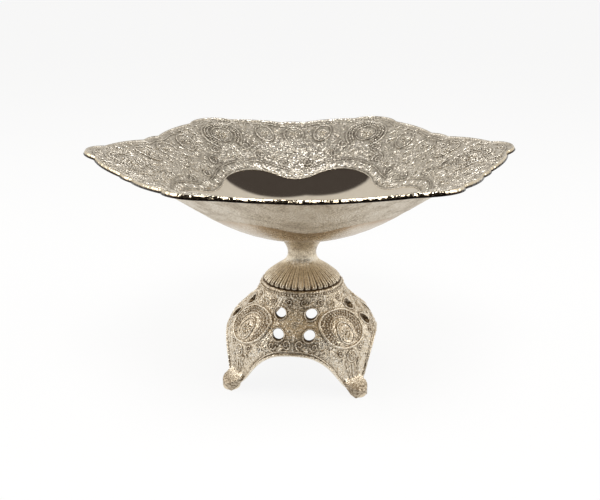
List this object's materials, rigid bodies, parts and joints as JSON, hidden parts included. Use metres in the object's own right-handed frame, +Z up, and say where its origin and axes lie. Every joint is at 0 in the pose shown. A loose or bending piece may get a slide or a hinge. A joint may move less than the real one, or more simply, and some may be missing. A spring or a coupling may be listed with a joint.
{
  "type": "footed fruit bowl",
  "caption": "Wide six-sided scalloped dish with a chased band, on a fluted waisted stem and a domed, pierced base with legs.",
  "frame": {"origin": "on the table under the middle of the bowl, level with the soles of the toes", "axes": "+Z up along the stem; +X through one of the bowl's corners, its widest way; +Y across a pair of its sides"},
  "size_m": [0.3, 0.267, 0.1665],
  "materials": {
    "plated_sheet": "silver plate on chased brass sheet, polished in the middle, tarnished in the chasing",
    "polished_border": "silver plate on brass, polished bright",
    "plated_casting": "worn silver plate on cast metal, brown in its hollows",
    "steel": "plain turned and pressed steel, dull zinc coat"
  },
  "bodies": {
    "root": {"bowl": "plated_sheet", "rim_border": "polished_border", "bowl_boss": "plated_casting", "stem": "plated_casting", "base": "plated_casting", "tie_rod": "steel", "clamp_plate": "steel", "spring_washer": "steel", "hex_nut": "steel"}
  },
  "joints": []
}
